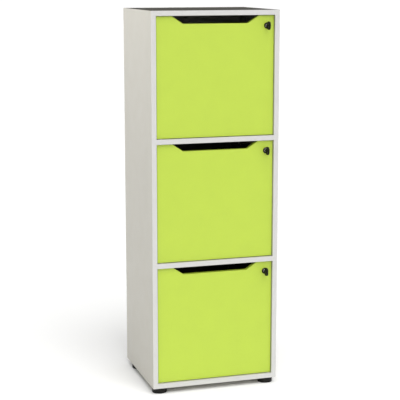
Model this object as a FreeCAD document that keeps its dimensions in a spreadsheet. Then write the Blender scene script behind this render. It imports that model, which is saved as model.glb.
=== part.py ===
import FreeCAD, Part
import os
import Sketcher

# Three-bay recycling cabinet in laminated board: a carcase on four feet, and in each bay a lockable
# inset door with a drop slot, and a loose bin behind it.
# Millimetres, +Z up, front towards -Y, origin on the floor under the centre of the bounding box.

driving_sizes = {
    # carcase
    "width": 430, "depth": 358, "board": 16, "bay": 390,
    "back_thick": 4, "back_inset": 12, "groove_depth": 6, "back_tuck": 5.5,
    # feet
    "foot_height": 20, "foot_radius": 25, "foot_side": 29, "foot_front": 31, "foot_rear": 60,
    "foot_bevel": 2, "foot_sink": 8, "foot_sink_radius": 6.5,
    "foot_screw_radius": 2.5, "foot_screw_head": 4.5, "foot_screw_cap": 2.25, "foot_screw_bite": 12,
    # doors
    "door_thick": 16, "door_recess": 8, "hinge_gap": 3, "latch_gap": 1.5, "end_gap": 2,
    "slot_top": 290, "slot_bottom": 218, "slot_drop": 24, "slot_round": 4,
    # pivot hinges
    "pin_radius": 3, "pin_set": 14, "pin_in_door": 18, "pin_end_gap": 0.1,
    "bush_radius": 5, "bush_length": 6.5, "bush_floor": 1,
    "bush_flange": 0.8, "bush_flange_radius": 7, "run_gap": 0.05,
    # locks
    "lock_inset": 23.5, "lock_drop": 32, "lock_fit": 0.2,
    "rosette_radius": 10, "rosette_height": 3, "rosette_bevel": 1,
    "barrel_radius": 8, "barrel_reach": 10,
    "plug_radius": 5.5, "plug_head_radius": 7, "plug_head": 1.5,
    "nut_radius": 12.7, "nut_height": 4,
    "tenon": 7, "cam_thick": 2.5, "cam_reach": 21, "cam_width": 14, "cam_gap": 0.8, "cam_clear": 0.3,
    "cam_screw_radius": 2, "cam_screw_head": 4, "cam_screw_rise": 2.5, "cam_screw_length": 8,
    # keys
    "blade_thick": 2, "blade_height": 7, "blade_length": 20, "key_gap": 0.2, "blade_root": 8,
    "bow_gap": 3, "bow_length": 22, "bow_height": 27, "bow_thick": 6.5, "bow_round": 9, "bow_edge": 1.2,
    "bow_hole": 2.5, "bow_hole_set": 6,
    # strikes and door stops
    "strike_width": 12, "strike_height": 30, "strike_leg": 22, "strike_thick": 1.5,
    "strike_screw_set": 14, "strike_screw_rise": 8,
    "small_screw_radius": 1.75, "small_screw_head": 3.2, "small_screw_cap": 1.6, "small_screw_bite": 11,
    "stop_width": 12, "stop_depth": 12, "stop_height": 24, "stop_gap": 0.5, "stop_rise": 60,
    "peg_radius": 2.5, "peg_length": 8,
    # loose bins
    "bin_front": 44, "bin_side": 38, "bin_rear": 36, "bin_headroom": 42, "bin_wall": 2.5,
    "bin_floor": 3, "bin_round": 24, "bin_taper": 9, "rim_width": 6, "rim_height": 8,
    # board fittings
    "bolt_radius": 3, "bolt_bite": 11, "disc_set": 24, "disc_radius": 7.5, "disc_height": 12.5,
    "fitting_gap": 0.5, "fitting_rear": 70, "dowel_radius": 4, "dowel_bite": 11, "dowel_length": 30,
    "back_screw_side": 60,
}

bays = ["bottom", "middle", "top"]
screw_signs = [-1, 0, 1]

doc = FreeCAD.newDocument("recycling_cabinet")
sheet = doc.addObject("Spreadsheet::Sheet", "Sizes")
for row, (alias, value) in enumerate(driving_sizes.items(), start=1):
    sheet.set(f"A{row}", alias)
    sheet.set(f"B{row}", str(value))
    sheet.setAlias(f"B{row}", alias)
doc.recompute()

nodes = []


def size(name):
    return f"Sizes.{name}"


def formula(text):
    """Turn words that name a size into sheet references."""
    pieces = []
    word = ""
    for letter in text + " ":
        if letter.isalpha() or letter == "_":
            word += letter
            continue
        pieces.append(size(word) if word in driving_sizes else word)
        pieces.append(letter)
        word = ""
    return "".join(pieces).strip()


# places that several pieces share, worked out from the sheet
pitch = "(board + bay)"
side_height = "(3 * bay + 2 * board)"
inner_width = "(width - 2 * board)"
shelf_depth = "(depth - back_inset - back_thick)"
key_end = "(rosette_height + bow_gap + bow_length)"
front_y = f"(-(depth + door_recess - {key_end}) / 2)"
rear_y = f"({front_y} + depth)"
door_width = f"({inner_width} - hinge_gap - latch_gap)"
door_height = "(bay - 2 * end_gap)"
door_x = f"(hinge_gap - {inner_width} / 2)"
door_y = f"({front_y} + door_recess)"
hinge_x = f"({door_x} + pin_set)"
hinge_y = f"({door_y} + door_thick / 2)"
barrel_end = "(door_thick + barrel_reach)"
cam_front = f"({barrel_end} + cam_clear)"
lock_x = f"({door_x} + {door_width} - lock_inset)"
strike_y = f"({door_y} + {cam_front} - cam_gap - strike_thick)"
bin_width = f"({inner_width} - 2 * bin_side)"
bin_depth = f"({shelf_depth} - bin_front - bin_rear)"
bin_height = "(bay - bin_headroom)"


def board_z(level):
    return f"(foot_height + {level} * {pitch})"


def bay_z(index):
    return f"({board_z(index)} + board)"


def lock_z(index):
    return f"({bay_z(index)} + end_gap + {door_height} - lock_drop)"


def bind(item, properties):
    for name, text in properties.items():
        item.setExpression(name, formula(text))


def place(item, x="0", y="0", z="0", turn=None):
    if turn is not None:
        item.Placement = FreeCAD.Placement(FreeCAD.Vector(0, 0, 0), turn)
    bind(item, {"Placement.Base.x": x, "Placement.Base.y": y, "Placement.Base.z": z})


turn_to = {
    "+X": FreeCAD.Rotation(FreeCAD.Vector(0, 1, 0), 90),
    "-X": FreeCAD.Rotation(FreeCAD.Vector(0, 1, 0), -90),
    "+Y": FreeCAD.Rotation(FreeCAD.Vector(1, 0, 0), -90),
    "-Y": FreeCAD.Rotation(FreeCAD.Vector(1, 0, 0), 90),
    "+Z": FreeCAD.Rotation(),
    "-Z": FreeCAD.Rotation(FreeCAD.Vector(1, 0, 0), 180),
}


def box(name, x, y, z, length, width, height):
    item = doc.addObject("Part::Box", name)
    bind(item, {"Length": length, "Width": width, "Height": height})
    place(item, x, y, z)
    return item


def rod(name, towards, x, y, z, radius, height):
    """A cylinder whose base centre is at x, y, z and whose axis runs towards a direction."""
    item = doc.addObject("Part::Cylinder", name)
    bind(item, {"Radius": radius, "Height": height})
    place(item, x, y, z, turn_to[towards])
    return item


def fuse(name, pieces):
    item = doc.addObject("Part::MultiFuse", name)
    item.Shapes = pieces
    return item


def group(name, pieces):
    item = doc.addObject("Part::Compound", name)
    item.Links = pieces
    return item


def carve(name, blank, tools):
    """Cut each tool from the blank in turn."""
    for number, tool in enumerate(tools):
        cut = doc.addObject("Part::Cut", f"{name}_cut{number}")
        cut.Base = blank
        cut.Tool = tool
        blank = cut
    return blank


def node(item, label):
    item.Label = label
    nodes.append(item)
    return item


def new_body(name, x, y, z):
    body = doc.addObject("PartDesign::Body", name)
    place(body, x, y, z)
    return body


def sketch_on(body, plane, lift="0"):
    """A sketch on one of the body's own origin planes, lifted along the plane's normal."""
    sketch = body.newObject("Sketcher::SketchObject", f"{body.Name}_sketch")
    support = [item for item in body.Origin.OriginFeatures if item.Role == plane][0]
    sketch.AttachmentSupport = [(support, "")]
    sketch.MapMode = "FlatFace"
    bind(sketch, {"AttachmentOffset.Base.z": lift})
    return sketch


def pin_axis(sketch, geometry, position, kind, distance):
    """Hold one point of a sketch at a distance from the sketch's origin along one axis."""
    index = sketch.addConstraint(Sketcher.Constraint(kind, -1, 1, geometry, position, 1))
    sketch.setExpression(f"Constraints[{index}]", formula(distance))


def pin_point(sketch, geometry, position, x, y):
    pin_axis(sketch, geometry, position, "DistanceX", x)
    pin_axis(sketch, geometry, position, "DistanceY", y)


def polygon(sketch, corners):
    """A closed outline through corners, each a pair of expressions."""
    count = len(corners)
    turn = FreeCAD.Rotation(FreeCAD.Vector(0, 0, 1), 360 / count)
    spoke = FreeCAD.Vector(50, 0, 0)
    for _ in corners:
        following = turn.multVec(spoke)
        sketch.addGeometry(Part.LineSegment(spoke, following), False)
        spoke = following
    for index in range(count):
        after = (index + 1) % count
        sketch.addConstraint(Sketcher.Constraint("Coincident", index, 2, after, 1))
    for index, (x, y) in enumerate(corners):
        pin_point(sketch, index, 1, x, y)


def circle(sketch, x, y, radius):
    ring = Part.Circle(FreeCAD.Vector(1, 1, 0), FreeCAD.Vector(0, 0, 1), 1)
    geometry = sketch.addGeometry(ring, False)
    pin_point(sketch, geometry, 3, x, y)
    index = sketch.addConstraint(Sketcher.Constraint("Radius", geometry, 1))
    sketch.setExpression(f"Constraints[{index}]", formula(radius))


def pad(body, sketch, length, backwards=False):
    feature = body.newObject("PartDesign::Pad", f"{body.Name}_pad")
    feature.Profile = sketch
    bind(feature, {"Length": length})
    feature.Reversed = backwards
    return feature


def pocket(body, sketch, length, backwards=False):
    feature = body.newObject("PartDesign::Pocket", f"{body.Name}_pocket")
    feature.Profile = sketch
    bind(feature, {"Length": length})
    feature.Reversed = backwards
    return feature


def revolve(body, sketch):
    feature = body.newObject("PartDesign::Revolution", f"{body.Name}_turned")
    feature.Profile = sketch
    feature.ReferenceAxis = (sketch, ["V_Axis"])
    feature.Angle = 360
    return feature


def round_edges(body, base, wanted, radius):
    """Fillet the edges of a feature that a test picks."""
    doc.recompute()
    names = [f"Edge{number}" for number, edge in enumerate(base.Shape.Edges, start=1) if wanted(edge)]
    feature = body.newObject("PartDesign::Fillet", f"{body.Name}_fillet")
    feature.Base = (base, names)
    bind(feature, {"Radius": radius})
    body.Tip = feature
    return feature


def runs_along(edge, axis):
    if not isinstance(edge.Curve, Part.Line):
        return False
    return abs(abs(edge.Curve.Direction.dot(axis)) - 1) < 1e-6


# --- fasteners and fittings, which also cut their own holes ---

def screw(name, towards, x, y, z, shank, length, head, cap):
    """A round-headed screw: its shank starts at x, y, z and its head stands behind that point."""
    backwards = {"+X": "-X", "-X": "+X", "+Y": "-Y", "-Y": "+Y", "+Z": "-Z"}[towards]
    pieces = [
        rod(f"{name}_shank", towards, x, y, z, shank, length),
        rod(f"{name}_head", backwards, x, y, z, head, cap),
    ]
    return fuse(name, pieces)


fitting_rows = [f"({strike_y} + strike_leg + fitting_gap + disc_radius)", f"({rear_y} - fitting_rear)"]


def make_board_fittings():
    """Cam bolts, cam discs and dowels at both ends of each horizontal board."""
    bolts = []
    discs = []
    dowels = []
    for level in (1, 2):
        middle = f"({board_z(level)} + board / 2)"
        for sign, inward in ((-1, "+X"), (1, "-X")):
            tag = f"{level}_{'left' if sign < 0 else 'right'}"
            start = f"({sign} * ({inner_width} / 2 + bolt_bite))"
            centre = f"({sign} * ({inner_width} / 2 - disc_set))"
            for row, y in enumerate(fitting_rows):
                name = f"{tag}_{row}"
                bolts.append(rod(f"bolt_{name}", inward, start, y, middle, "bolt_radius", "bolt_bite + disc_set"))
                discs.append(rod(f"disc_{name}", "+Z", centre, y, board_z(level), "disc_radius", "disc_height"))
            peg = f"({sign} * ({inner_width} / 2 + dowel_bite))"
            half_way = f"({front_y} + {shelf_depth} / 2)"
            dowels.append(rod(f"dowel_{tag}", inward, peg, half_way, middle, "dowel_radius", "dowel_length"))
    for level, towards, sign in ((0, "+Z", 1), (3, "-Z", -1)):
        joint = f"({board_z(level)} + board)" if level == 0 else board_z(level)
        for side in (-1, 1):
            tag = f"{level}_{'left' if side < 0 else 'right'}"
            x = f"({side} * (width / 2 - board / 2))"
            face = f"({side} * {inner_width} / 2)"
            start = f"({joint} - {sign} * bolt_bite)"
            centre = f"({joint} + {sign} * disc_set)"
            outward = "+X" if side > 0 else "-X"
            for row, y in enumerate(fitting_rows):
                name = f"{tag}_{row}"
                bolts.append(rod(f"bolt_{name}", towards, x, y, start, "bolt_radius", "bolt_bite + disc_set"))
                discs.append(rod(f"disc_{name}", outward, face, y, centre, "disc_radius", "disc_height"))
            peg = f"({joint} - {sign} * dowel_bite)"
            half_way = f"({front_y} + {shelf_depth} / 2)"
            dowels.append(rod(f"dowel_{tag}", towards, x, half_way, peg, "dowel_radius", "dowel_length"))
    return bolts, discs, dowels


bolt_pieces, disc_blanks, dowel_pieces = make_board_fittings()
cam_bolts = node(group("cam_bolts", bolt_pieces), "cam_bolts")
wood_dowels = node(group("wood_dowels", dowel_pieces), "wood_dowels")
disc_space = group("disc_space", disc_blanks)
disc_pieces = [carve(blank.Name, blank, [bolt]) for blank, bolt in zip(disc_blanks, bolt_pieces)]
node(group("cam_discs", disc_pieces), "cam_discs")


def make_back_screws():
    panel_rear = f"({rear_y} - back_inset)"
    screws = []
    for level in (1, 2):
        middle = f"({board_z(level)} + board / 2)"
        for sign in screw_signs:
            x = f"({sign} * ({inner_width} / 2 - back_screw_side))"
            name = f"back_screw_{level}_{sign + 1}"
            length = "back_thick + small_screw_bite"
            screws.append(screw(name, "-Y", x, panel_rear, middle, "small_screw_radius", length,
                                "small_screw_head", "small_screw_cap"))
    return screws


back_panel_screws = node(group("back_panel_screws", make_back_screws()), "back_panel_screws")


# --- hinge bushes: a flanged nylon cup above and below each door ---

def make_bush(index, end):
    """One cup, sunk in a board with its flange in the door's gap."""
    towards, outward, face = {
        "lower": ("-Z", "+Z", bay_z(index)),
        "upper": ("+Z", "-Z", f"({bay_z(index)} + bay)"),
    }[end]
    sign = 1 if outward == "+Z" else -1
    name = f"{bays[index]}_{end}_bush"
    sleeve = rod(f"{name}_sleeve", towards, hinge_x, hinge_y, face, "bush_radius", "bush_length")
    flange = rod(f"{name}_flange", outward, hinge_x, hinge_y, face, "bush_flange_radius", "bush_flange")
    mouth = f"({face} + {sign} * bush_flange)"
    bore = rod(f"{name}_bore", towards, hinge_x, hinge_y, mouth, "pin_radius + run_gap",
               "bush_flange + bush_length - bush_floor")
    return sleeve, carve(name, fuse(f"{name}_blank", [sleeve, flange]), [bore])


bush_sleeves = []
bush_pieces = []
for bay_index in range(len(bays)):
    for bush_end in ("lower", "upper"):
        sleeve_piece, bush_piece = make_bush(bay_index, bush_end)
        bush_sleeves.append(sleeve_piece)
        bush_pieces.append(bush_piece)
bush_space = group("bush_space", bush_sleeves)
node(group("pivot_bushes", bush_pieces), "pivot_bushes")


# --- strikes and stops on the right-hand side board ---

side_face = f"({inner_width} / 2)"


def make_strike_screws():
    screws = []
    x = f"({side_face} - strike_thick)"
    y = f"({strike_y} + strike_screw_set)"
    for index, bay_name in enumerate(bays):
        for sign in (-1, 1):
            z = f"({lock_z(index)} + {sign} * strike_screw_rise)"
            name = f"{bay_name}_strike_screw_{sign + 1}"
            screws.append(screw(name, "+X", x, y, z, "small_screw_radius", "small_screw_bite",
                                "small_screw_head", "small_screw_cap"))
    return screws


strike_screws = node(group("strike_screws", make_strike_screws()), "strike_screws")


def make_strike(index):
    """An angle that the lock's cam turns behind."""
    name = f"{bays[index]}_strike"
    body = new_body(name, side_face, strike_y, f"{lock_z(index)} - strike_height / 2")
    profile = sketch_on(body, "XY_Plane")
    polygon(profile, [
        ("0", "0"),
        ("0", "strike_leg"),
        ("-strike_thick", "strike_leg"),
        ("-strike_thick", "strike_thick"),
        ("-strike_width", "strike_thick"),
        ("-strike_width", "0"),
    ])
    pad(body, profile, "strike_height")
    node(carve(f"{name}_plate", body, [strike_screws]), f"{name}_plate")


def make_stop(index):
    """A plastic block that the closed door rests against, pegged into the side board."""
    name = f"{bays[index]}_door_stop"
    z = f"({bay_z(index)} + stop_rise)"
    y = f"({door_y} + door_thick + stop_gap)"
    block = box(f"{name}_block", f"{side_face} - stop_width", y, z, "stop_width", "stop_depth", "stop_height")
    peg = rod(f"{name}_peg", "+X", side_face, f"{y} + stop_depth / 2", f"{z} + stop_height / 2",
              "peg_radius", "peg_length")
    node(fuse(name, [block, peg]), name)
    return peg


for bay_index in range(len(bays)):
    make_strike(bay_index)
peg_space = group("peg_space", [make_stop(bay_index) for bay_index in range(len(bays))])


# --- feet ---

def make_feet():
    screws = []
    for end, y in (("front", f"({front_y} + foot_front)"), ("rear", f"({rear_y} - foot_rear)")):
        for side, sign in (("left", -1), ("right", 1)):
            name = f"{end}_{side}_foot"
            x = f"({sign} * (width / 2 - foot_side))"
            body = new_body(name, x, y, "0")
            profile = sketch_on(body, "XZ_Plane")
            polygon(profile, [
                ("foot_screw_radius", "foot_sink"),
                ("foot_sink_radius", "foot_sink"),
                ("foot_sink_radius", "0"),
                ("foot_radius - foot_bevel", "0"),
                ("foot_radius", "foot_bevel"),
                ("foot_radius", "foot_height"),
                ("foot_screw_radius", "foot_height"),
            ])
            revolve(body, profile)
            node(body, name)
            length = "foot_height - foot_sink + foot_screw_bite"
            screws.append(screw(f"{name}_screw", "+Z", x, y, "foot_sink", "foot_screw_radius", length,
                                "foot_screw_head", "foot_screw_cap"))
    return screws


foot_screws = node(group("foot_screws", make_feet()), "foot_screws")


# --- carcase boards ---

groove_space = box("groove_space", f"-{inner_width} / 2 - groove_depth",
                   f"{rear_y} - back_inset - back_thick", f"{board_z(0)} + board - groove_depth",
                   f"{inner_width} + 2 * groove_depth", "back_thick", f"{side_height} + 2 * groove_depth")
fitting_tools = [cam_bolts, disc_space, wood_dowels]


def make_cover_board(label, level, tools):
    blank = box(f"{label}_blank", "-width / 2", front_y, board_z(level), "width", "depth", "board")
    node(carve(label, blank, [cam_bolts, wood_dowels, groove_space, bush_space] + tools), label)


def make_shelf(label, level):
    blank = box(f"{label}_blank", f"-{inner_width} / 2", front_y, board_z(level),
                inner_width, shelf_depth, "board")
    node(carve(label, blank, fitting_tools + [bush_space, back_panel_screws]), label)


def make_side(label, x, tools):
    blank = box(f"{label}_blank", x, front_y, f"{board_z(0)} + board", "board", "depth", side_height)
    node(carve(label, blank, fitting_tools + [groove_space] + tools), label)


def make_back_panel():
    blank = box("back_panel_blank", f"-{inner_width} / 2 - back_tuck", f"{rear_y} - back_inset - back_thick",
                f"{board_z(0)} + board - back_tuck", f"{inner_width} + 2 * back_tuck", "back_thick",
                f"{side_height} + 2 * back_tuck")
    node(carve("back_panel", blank, [back_panel_screws]), "back_panel")


make_cover_board("bottom_board", 0, [foot_screws])
make_cover_board("top_board", 3, [])
make_shelf("lower_shelf", 1)
make_shelf("upper_shelf", 2)
make_side("left_side", "-width / 2", [])
make_side("right_side", side_face, [strike_screws, peg_space])
make_back_panel()


# --- doors ---

def make_door(index):
    """A panel with a tapered drop slot in its top edge, a lock hole and a pin hole at each end."""
    label = f"{bays[index]}_door"
    body = new_body(label, door_x, door_y, f"{bay_z(index)} + end_gap")
    outline = sketch_on(body, "XZ_Plane")
    slot_floor = f"{door_height} - slot_drop"
    polygon(outline, [
        ("0", "0"),
        (door_width, "0"),
        (door_width, door_height),
        (f"({door_width} + slot_top) / 2", door_height),
        (f"({door_width} + slot_bottom) / 2", slot_floor),
        (f"({door_width} - slot_bottom) / 2", slot_floor),
        (f"({door_width} - slot_top) / 2", door_height),
        ("0", door_height),
    ])
    panel = pad(body, outline, "door_thick", backwards=True)
    doc.recompute()
    floor_z = panel.Shape.BoundBox.ZMax - sheet.get("slot_drop")

    def is_slot_corner(edge):
        middle = edge.CenterOfMass
        return runs_along(edge, FreeCAD.Vector(0, 1, 0)) and abs(middle.z - floor_z) < 0.01

    round_edges(body, panel, is_slot_corner, "slot_round")
    lock_hole = sketch_on(body, "XZ_Plane")
    circle(lock_hole, f"{door_width} - lock_inset", f"{door_height} - lock_drop", "barrel_radius + lock_fit")
    pocket(body, lock_hole, "door_thick")
    for lift, backwards in (("0", True), (door_height, False)):
        pin_hole = sketch_on(body, "XY_Plane", lift)
        circle(pin_hole, "pin_set", "door_thick / 2", "pin_radius")
        pocket(body, pin_hole, "pin_in_door", backwards)
    node(body, label)


def make_pins(index):
    """Two steel pins, pressed into the door's ends and running in the bushes."""
    label = f"{bays[index]}_hinge_pins"
    length = "pin_in_door + end_gap + bush_length - bush_floor - pin_end_gap"
    low = f"({bay_z(index)} + end_gap + pin_in_door)"
    high = f"({bay_z(index)} + bay - end_gap - pin_in_door)"
    pins = [
        rod(f"{label}_lower", "-Z", hinge_x, hinge_y, low, "pin_radius", length),
        rod(f"{label}_upper", "+Z", hinge_x, hinge_y, high, "pin_radius", length),
    ]
    node(group(label, pins), label)


# --- locks: each is drawn about its own axis, from the door's front face inwards ---

def make_lock_body(index):
    label = f"{bays[index]}_lock_body"
    body = new_body(label, lock_x, door_y, lock_z(index))
    profile = sketch_on(body, "XY_Plane")
    bore = "plug_radius + run_gap"
    seat = "-rosette_height + plug_head + run_gap"
    polygon(profile, [
        ("rosette_radius - rosette_bevel", "-rosette_height"),
        ("rosette_radius", "-rosette_height + rosette_bevel"),
        ("rosette_radius", "0"),
        ("barrel_radius", "0"),
        ("barrel_radius", barrel_end),
        (bore, barrel_end),
        (bore, seat),
        ("plug_head_radius + run_gap", seat),
        ("plug_head_radius + run_gap", "-rosette_height"),
    ])
    revolve(body, profile)
    node(body, label)


def make_lock_nut(index):
    label = f"{bays[index]}_lock_nut"
    start = f"({door_y} + door_thick)"
    hexagon = doc.addObject("Part::Prism", f"{label}_blank")
    hexagon.Polygon = 6
    bind(hexagon, {"Circumradius": "nut_radius", "Height": "nut_height"})
    place(hexagon, lock_x, start, lock_z(index), turn_to["+Y"])
    bore = rod(f"{label}_bore", "+Y", lock_x, start, lock_z(index), "barrel_radius", "nut_height")
    node(carve(label, hexagon, [bore]), label)


def make_plug(index):
    """The turning plug: a head, a round body with a keyway, and a square end for the cam."""
    label = f"{bays[index]}_lock_plug"
    body = new_body(label, lock_x, door_y, lock_z(index))
    profile = sketch_on(body, "XY_Plane")
    polygon(profile, [
        ("0", "-rosette_height"),
        ("plug_head_radius", "-rosette_height"),
        ("plug_head_radius", "-rosette_height + plug_head"),
        ("plug_radius", "-rosette_height + plug_head"),
        ("plug_radius", cam_front),
        ("0", cam_front),
    ])
    revolve(body, profile)
    square = sketch_on(body, "XZ_Plane", f"-{cam_front}")
    half = "tenon / 2"
    polygon(square, [(f"-{half}", f"-{half}"), (half, f"-{half}"), (half, half), (f"-{half}", half)])
    pad(body, square, "cam_thick", backwards=True)
    keyway = sketch_on(body, "XZ_Plane", "rosette_height")
    wide = "blade_thick / 2 + key_gap"
    tall = "blade_height / 2 + key_gap"
    polygon(keyway, [(f"-({wide})", f"-({tall})"), (wide, f"-({tall})"), (wide, tall), (f"-({wide})", tall)])
    pocket(body, keyway, "blade_length + key_gap")
    thread = sketch_on(body, "XZ_Plane", f"-({cam_front} + cam_thick)")
    circle(thread, "0", "0", "cam_screw_radius")
    pocket(body, thread, "cam_screw_length", backwards=True)
    node(body, label)


def make_cam(index):
    """A flat tongue that hangs down when the lock is open."""
    label = f"{bays[index]}_lock_cam"
    y = f"({door_y} + {cam_front})"
    z = lock_z(index)
    tongue = box(f"{label}_tongue", f"{lock_x} - cam_width / 2", y, f"{z} - cam_reach",
                 "cam_width", "cam_thick", "cam_reach")
    eye = rod(f"{label}_eye", "+Y", lock_x, y, z, "cam_width / 2", "cam_thick")
    square = box(f"{label}_square", f"{lock_x} - tenon / 2", y, f"{z} - tenon / 2",
                 "tenon", "cam_thick", "tenon")
    node(carve(label, fuse(f"{label}_blank", [tongue, eye]), [square]), label)


def make_cam_screw(index):
    label = f"{bays[index]}_cam_screw"
    y = f"({door_y} + {cam_front} + cam_thick)"
    item = screw(f"{label}_solid", "-Y", lock_x, y, lock_z(index), "cam_screw_radius", "cam_screw_length",
                 "cam_screw_head", "cam_screw_rise")
    node(item, label)


# --- keys ---

def make_key(index):
    """A flat steel blade moulded into a black bow."""
    name = f"{bays[index]}_key"
    z = lock_z(index)
    bow_face = f"({door_y} - rosette_height - bow_gap)"
    blade = box(f"{name}_blade", f"{lock_x} - blade_thick / 2", f"{bow_face} - blade_root",
                f"{z} - blade_height / 2", "blade_thick", "blade_root + bow_gap + blade_length", "blade_height")
    node(blade, f"{name}_blade")
    body = new_body(f"{name}_bow_blank", f"{lock_x} - bow_thick / 2", bow_face, z)
    outline = sketch_on(body, "YZ_Plane")
    half = "bow_height / 2"
    polygon(outline, [("-bow_length", f"-{half}"), ("0", f"-{half}"), ("0", half), ("-bow_length", half)])
    plate = pad(body, outline, "bow_thick")
    across = FreeCAD.Vector(1, 0, 0)
    rounded = round_edges(body, plate, lambda edge: runs_along(edge, across), "bow_round")
    doc.recompute()
    box_now = rounded.Shape.BoundBox

    def is_rim(edge):
        middle = edge.CenterOfMass
        at_face = min(abs(middle.x - box_now.XMin), abs(middle.x - box_now.XMax)) < 0.01
        return at_face and not runs_along(edge, across)

    round_edges(body, rounded, is_rim, "bow_edge")
    hole = sketch_on(body, "YZ_Plane")
    circle(hole, "-bow_length + bow_hole_set", "0", "bow_hole")
    pocket(body, hole, "bow_thick", backwards=True)
    node(carve(f"{name}_bow", body, [blade]), f"{name}_bow")


# --- loose bins ---

def centred_rectangle(body, inset, lift):
    """A rectangle centred on the body's origin, inset from the bin's overall size."""
    sketch = sketch_on(body, "XY_Plane", lift)
    wide = f"({bin_width} / 2 - {inset})"
    deep = f"({bin_depth} / 2 - {inset})"
    polygon(sketch, [(f"-{wide}", f"-{deep}"), (wide, f"-{deep}"), (wide, deep), (f"-{wide}", deep)])
    return sketch


def is_upright(edge):
    start, end = [vertex.Point for vertex in edge.Vertexes]
    return abs(end.z - start.z) > 0.9 * edge.Length


def tapered_block(body, inset, bottom, corner):
    """A block with round corners that widens upwards, from a height to the bin's top."""
    base = centred_rectangle(body, f"({inset} + bin_taper)", bottom)
    block = pad(body, base, f"{bin_height} - {bottom}")
    bind(block, {"TaperAngle": f"atan(bin_taper / ({bin_height} - {bottom}))"})
    round_edges(body, block, is_upright, corner)


def make_bin(index):
    """A tapered plastic bin with a turned-out rim."""
    label = f"{bays[index]}_inner_bin"
    centre_y = f"{front_y} + bin_front + {bin_depth} / 2"
    shell = new_body(f"{label}_shell", "0", centre_y, bay_z(index))
    tapered_block(shell, "rim_width", "0", "bin_round")
    rim_outline = centred_rectangle(shell, "0", f"{bin_height} - rim_height")
    rim = pad(shell, rim_outline, "rim_height")
    doc.recompute()
    rim_half = sheet.get("width") / 2 - sheet.get("board") - sheet.get("bin_side")

    def is_rim_corner(edge):
        return runs_along(edge, FreeCAD.Vector(0, 0, 1)) and abs(abs(edge.CenterOfMass.x) - rim_half) < 0.01

    round_edges(shell, rim, is_rim_corner, "bin_round + rim_width")
    cavity = new_body(f"{label}_cavity", "0", centre_y, bay_z(index))
    tapered_block(cavity, "(rim_width + bin_wall)", "bin_floor", "bin_round - bin_wall")
    node(carve(label, shell, [cavity]), label)


for bay_index in range(len(bays)):
    make_door(bay_index)
    make_pins(bay_index)
    make_lock_body(bay_index)
    make_lock_nut(bay_index)
    make_plug(bay_index)
    make_cam(bay_index)
    make_cam_screw(bay_index)
    make_key(bay_index)
    make_bin(bay_index)

doc.recompute()

for item in doc.Objects:
    if "Invalid" in item.State or "Error" in item.State:
        raise RuntimeError(f"{item.Label} failed: {item.State}")
for item in nodes:
    if item.Shape.isNull() or not item.Shape.isValid() or not item.Shape.Solids:
        raise RuntimeError(f"{item.Label} has no valid solid")

os.makedirs("parts", exist_ok=True)
for item in nodes:
    item.Shape.exportStep(f"parts/{item.Label}.step")
print(f"{len(nodes)} pieces written")
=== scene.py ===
import math
import bmesh
import bpy
from mathutils import Matrix, Vector


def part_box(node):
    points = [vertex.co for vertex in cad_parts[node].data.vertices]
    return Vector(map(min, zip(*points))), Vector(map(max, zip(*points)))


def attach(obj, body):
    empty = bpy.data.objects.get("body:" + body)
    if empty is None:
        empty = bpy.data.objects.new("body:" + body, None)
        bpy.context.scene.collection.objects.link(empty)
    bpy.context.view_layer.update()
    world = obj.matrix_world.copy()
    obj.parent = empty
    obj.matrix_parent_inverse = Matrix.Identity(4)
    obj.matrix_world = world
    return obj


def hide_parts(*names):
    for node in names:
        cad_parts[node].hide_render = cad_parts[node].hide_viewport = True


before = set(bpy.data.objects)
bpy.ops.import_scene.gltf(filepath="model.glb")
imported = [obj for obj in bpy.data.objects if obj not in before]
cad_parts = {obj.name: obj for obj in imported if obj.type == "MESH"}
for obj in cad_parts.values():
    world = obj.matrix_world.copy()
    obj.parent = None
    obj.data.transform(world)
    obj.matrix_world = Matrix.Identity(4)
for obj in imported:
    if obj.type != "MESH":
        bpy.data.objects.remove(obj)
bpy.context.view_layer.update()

mm = 0.001
thin = 0.05 * mm         # a turned piece closes on this radius
bays = ["bottom", "middle", "top"]
scene = bpy.context.scene


# small tools

def linearColour(hexColour, shade=1.0):
    values = []
    for start in (1, 3, 5):
        level = int(hexColour[start:start + 2], 16) / 255
        linear = level / 12.92 if level <= 0.04045 else ((level + 0.055) / 1.055) ** 2.4
        values.append(min(linear * shade, 1.0))
    return (*values, 1.0)


def addNode(owner, kind, settings=None, links=None):
    node = owner.node_tree.nodes.new("ShaderNode" + kind)
    for name, value in (settings or {}).items():
        if isinstance(name, int) or name in node.inputs:
            node.inputs[name].default_value = value
        else:
            setattr(node, name, value)
    for name, source in (links or {}).items():
        owner.node_tree.links.new(source, node.inputs[name])
    return node


def newMaterial(name, **shaderValues):
    material = bpy.data.materials.new(name)
    material.use_nodes = True
    shader = material.node_tree.nodes["Principled BSDF"]
    for socket, value in shaderValues.items():
        shader.inputs[socket.replace("_", " ")].default_value = value
    return material, shader


def feed(material, source, socket):
    material.node_tree.links.new(source, socket)


def dress(piece, material):
    if not piece.material_slots:
        piece.data.materials.append(material)
    for spot in piece.material_slots:
        spot.material = material


def cadPiece(node):
    return bpy.data.objects[node]


def softenEdges(piece, width):
    bevel = piece.modifiers.new("softEdges", "BEVEL")
    bevel.width = width
    bevel.segments = 2
    bevel.limit_method = "ANGLE"
    bevel.angle_limit = math.radians(40)


def meshPiece(name, build, sharpAngle=38):
    mesh = bpy.data.meshes.new(name)
    shape = bmesh.new()
    build(shape)
    bmesh.ops.remove_doubles(shape, verts=shape.verts, dist=1e-6)
    bmesh.ops.recalc_face_normals(shape, faces=shape.faces)
    shape.to_mesh(mesh)
    shape.free()
    mesh.shade_smooth()
    mesh.set_sharp_from_angle(angle=math.radians(sharpAngle))
    piece = bpy.data.objects.new(name, mesh)
    scene.collection.objects.link(piece)
    return piece


def move(piece, matrix):
    piece.data.transform(matrix)
    piece.data.update()


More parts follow.
